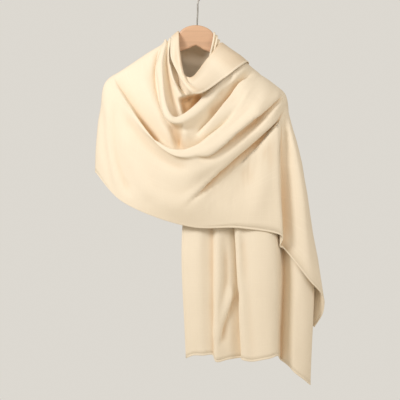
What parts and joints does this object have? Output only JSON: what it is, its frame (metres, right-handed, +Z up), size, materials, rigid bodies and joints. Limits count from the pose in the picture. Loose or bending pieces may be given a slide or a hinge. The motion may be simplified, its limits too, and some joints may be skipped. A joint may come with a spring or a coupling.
{
  "type": "linen scarf on a hanger",
  "caption": "Light linen scarf wound once round a wooden clothes hanger: cowls across the front, one tail in front and one over the shoulder.",
  "frame": {"origin": "inside of the hook's top, where a rail or peg carries the hanger", "axes": "+Z up, +X to the viewer's right across the shoulders, -Y towards the viewer, front to back is the shortest way"},
  "size_m": [0.5457, 0.2353, 0.9684],
  "materials": {
    "linen": "matt cream linen, plain weave",
    "hanger_wood": "satin light beech",
    "hook_wire": "plain grey wire"
  },
  "bodies": {
    "root": {"front_tail": "linen", "back_stretch": "linen", "front_drape": "linen", "shoulder_tail": "linen", "hanger_bar": "hanger_wood", "hanger_hook": "hook_wire"}
  },
  "joints": []
}
